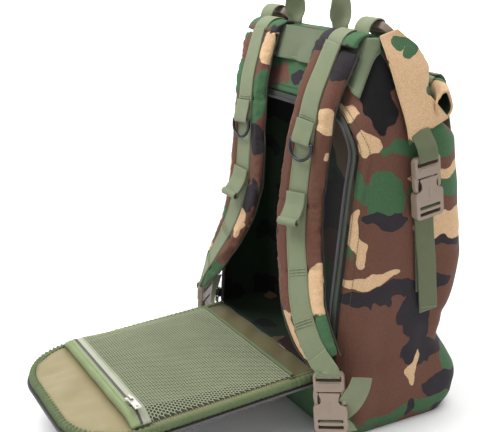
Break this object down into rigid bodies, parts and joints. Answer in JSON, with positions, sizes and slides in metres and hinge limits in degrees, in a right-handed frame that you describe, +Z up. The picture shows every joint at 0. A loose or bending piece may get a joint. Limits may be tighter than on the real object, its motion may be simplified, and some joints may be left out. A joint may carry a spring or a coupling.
{
  "type": "hunting backpack",
  "caption": "Woodland-pattern day pack with a hinged zip-open back panel, mesh pocket, padded straps with D-rings, buckled webbing and a rolled top.",
  "frame": {"origin": "on the floor at the centre of the bag's base", "axes": "+Z up, -Y towards the wearer's back, +X towards the wearer's left"},
  "size_m": [0.3738, 0.5258, 0.5496],
  "materials": {
    "camo_cloth": "woven woodland pattern, matt",
    "olive_webbing": "ribbed weave",
    "zip_tape": "woven tape",
    "binding_tape": "ribbed tape",
    "black_cloth": "coated cloth",
    "foam": "closed-cell foam",
    "lining_cloth": "smooth coated cloth",
    "black_mesh": "spacer mesh",
    "pocket_mesh": "open mesh",
    "buckle_plastic": "moulded, satin",
    "ring_steel": "black coating",
    "grip_rubber": "matt",
    "zip_metal": "bright"
  },
  "bodies": {
    "bag": {"base_panel": "camo_cloth", "top_cover": "camo_cloth", "front_panel": "camo_cloth", "back_header": "camo_cloth", "lower_back": "camo_cloth", "side_panel_left": "camo_cloth", "side_panel_right": "camo_cloth", "bag_zip_tape": "zip_tape", "yoke": "olive_webbing", "lid_wing_left": "camo_cloth", "lid_wing_right": "camo_cloth", "top_roll": "camo_cloth", "side_plug_left": "buckle_plastic", "side_plug_right": "buckle_plastic", "side_web_left": "olive_webbing", "side_web_right": "olive_webbing", "top_plug_left": "buckle_plastic", "top_plug_right": "buckle_plastic", "top_web_left": "olive_webbing", "top_web_right": "olive_webbing", "strap_root_left": "camo_cloth", "strap_root_right": "camo_cloth"},
    "carry_handle": {"carry_handle": "olive_webbing"},
    "back_panel": {"panel_face": "black_cloth", "panel_foam": "foam", "panel_lining": "lining_cloth", "panel_binding": "binding_tape", "panel_zip_tape": "zip_tape", "mesh_pocket": "pocket_mesh", "pocket_zip_tape": "zip_tape"},
    "pocket_slider": {"pocket_slider": "zip_metal"},
    "pocket_pull": {"pocket_pull": "zip_metal"},
    "strap_left": {"strap_mesh_left": "black_mesh", "strap_foam_left": "foam", "strap_cover_left": "camo_cloth", "strap_web_left": "olive_webbing", "strap_tab_left": "olive_webbing", "strap_plug_left": "buckle_plastic", "strap_tail_left": "olive_webbing"},
    "strap_socket_left": {"strap_socket_left": "buckle_plastic"},
    "d_ring_left": {"d_ring_left": "ring_steel"},
    "side_socket_left": {"side_socket_left": "buckle_plastic"},
    "top_socket_left": {"top_socket_left": "buckle_plastic"},
    "zip_slider_left": {"zip_slider_left": "zip_metal"},
    "zip_pull_left": {"zip_pull_left": "zip_metal", "zip_grip_left": "grip_rubber"},
    "strap_right": {"strap_mesh_right": "black_mesh", "strap_foam_right": "foam", "strap_cover_right": "camo_cloth", "strap_web_right": "olive_webbing", "strap_tab_right": "olive_webbing", "strap_plug_right": "buckle_plastic", "strap_tail_right": "olive_webbing"},
    "strap_socket_right": {"strap_socket_right": "buckle_plastic"},
    "d_ring_right": {"d_ring_right": "ring_steel"},
    "side_socket_right": {"side_socket_right": "buckle_plastic"},
    "top_socket_right": {"top_socket_right": "buckle_plastic"},
    "zip_slider_right": {"zip_slider_right": "zip_metal"},
    "zip_pull_right": {"zip_pull_right": "zip_metal", "zip_grip_right": "grip_rubber"}
  },
  "joints": [
    {"name": "back_panel_hinge", "type": "hinge", "parent": "bag", "child": "back_panel", "pos_m": [0, -0.094, 0.079], "axis": [-1, 0, 0], "range_deg": [0, 98]},
    {"name": "carry_handle_fold", "type": "hinge", "parent": "bag", "child": "carry_handle", "pos_m": [0, -0.027, 0.486], "axis": [1, 0, 0], "range_deg": [-60, 30]},
    {"name": "strap_left_swing", "type": "hinge", "parent": "bag", "child": "strap_left", "pos_m": [0.178, -0.085, 0.015], "axis": [-0.1203, 0.0687, 0.9904], "range_deg": [0, 116]},
    {"name": "d_ring_left_flip", "type": "hinge", "parent": "strap_left", "child": "d_ring_left", "pos_m": [0.07448, -0.09447, 0.36119], "axis": [-0.9596, -0.2571, 0.1142], "range_deg": [0, 140]},
    {"name": "strap_buckle_left_release", "type": "slide", "parent": "strap_left", "child": "strap_socket_left", "axis": [0.1191, 0.0199, -0.9927], "range_m": [0, 0.022]},
    {"name": "side_buckle_left_release", "type": "slide", "parent": "bag", "child": "side_socket_left", "axis": [0, 0.1302, -0.9915], "range_m": [0, 0.03]},
    {"name": "top_buckle_left_release", "type": "slide", "parent": "bag", "child": "top_socket_left", "axis": [0, 0.8131, -0.5821], "range_m": [0, 0.026]},
    {"name": "main_zip_left_travel", "type": "slide", "parent": "bag", "child": "zip_slider_left", "axis": [0, 0.0872, 0.9962], "range_m": [0, 0.235]},
    {"name": "main_zip_left_pull", "type": "hinge", "parent": "zip_slider_left", "child": "zip_pull_left", "pos_m": [0.1385, -0.09664, 0.09327], "axis": [-1, 0, 0], "range_deg": [0, 30]},
    {"name": "strap_right_swing", "type": "hinge", "parent": "bag", "child": "strap_right", "pos_m": [-0.178, -0.085, 0.015], "axis": [-0.1203, -0.0687, -0.9904], "range_deg": [0, 116]},
    {"name": "d_ring_right_flip", "type": "hinge", "parent": "strap_right", "child": "d_ring_right", "pos_m": [-0.06977, -0.09484, 0.36164], "axis": [-0.9918, -0.1042, -0.0738], "range_deg": [0, 140]},
    {"name": "strap_buckle_right_release", "type": "slide", "parent": "strap_right", "child": "strap_socket_right", "axis": [-0.1191, 0.0199, -0.9927], "range_m": [0, 0.022]},
    {"name": "side_buckle_right_release", "type": "slide", "parent": "bag", "child": "side_socket_right", "axis": [0, 0.1302, -0.9915], "range_m": [0, 0.03]},
    {"name": "top_buckle_right_release", "type": "slide", "parent": "bag", "child": "top_socket_right", "axis": [0, 0.8131, -0.5821], "range_m": [0, 0.026]},
    {"name": "main_zip_right_travel", "type": "slide", "parent": "bag", "child": "zip_slider_right", "axis": [0, 0.0872, 0.9962], "range_m": [0, 0.235]},
    {"name": "main_zip_right_pull", "type": "hinge", "parent": "zip_slider_right", "child": "zip_pull_right", "pos_m": [-0.1385, -0.09664, 0.09327], "axis": [-1, 0, 0], "range_deg": [0, 30]},
    {"name": "pocket_zip_travel", "type": "slide", "parent": "back_panel", "child": "pocket_slider", "axis": [-1, 0, 0], "range_m": [0, 0.18]},
    {"name": "pocket_pull_flip", "type": "hinge", "parent": "pocket_slider", "child": "pocket_pull", "pos_m": [0.088, -0.327, 0.09197], "axis": [0, -0.9986, -0.0523], "range_deg": [0, 160]}
  ],
  "couplings": [
    {"joint": "strap_left_swing", "follows": "back_panel_hinge", "ratio": 1.18},
    {"joint": "main_zip_left_travel", "follows": "back_panel_hinge", "m_per_rad": 0.13738},
    {"joint": "strap_right_swing", "follows": "back_panel_hinge", "ratio": 1.18},
    {"joint": "main_zip_right_travel", "follows": "back_panel_hinge", "m_per_rad": 0.13738}
  ]
}
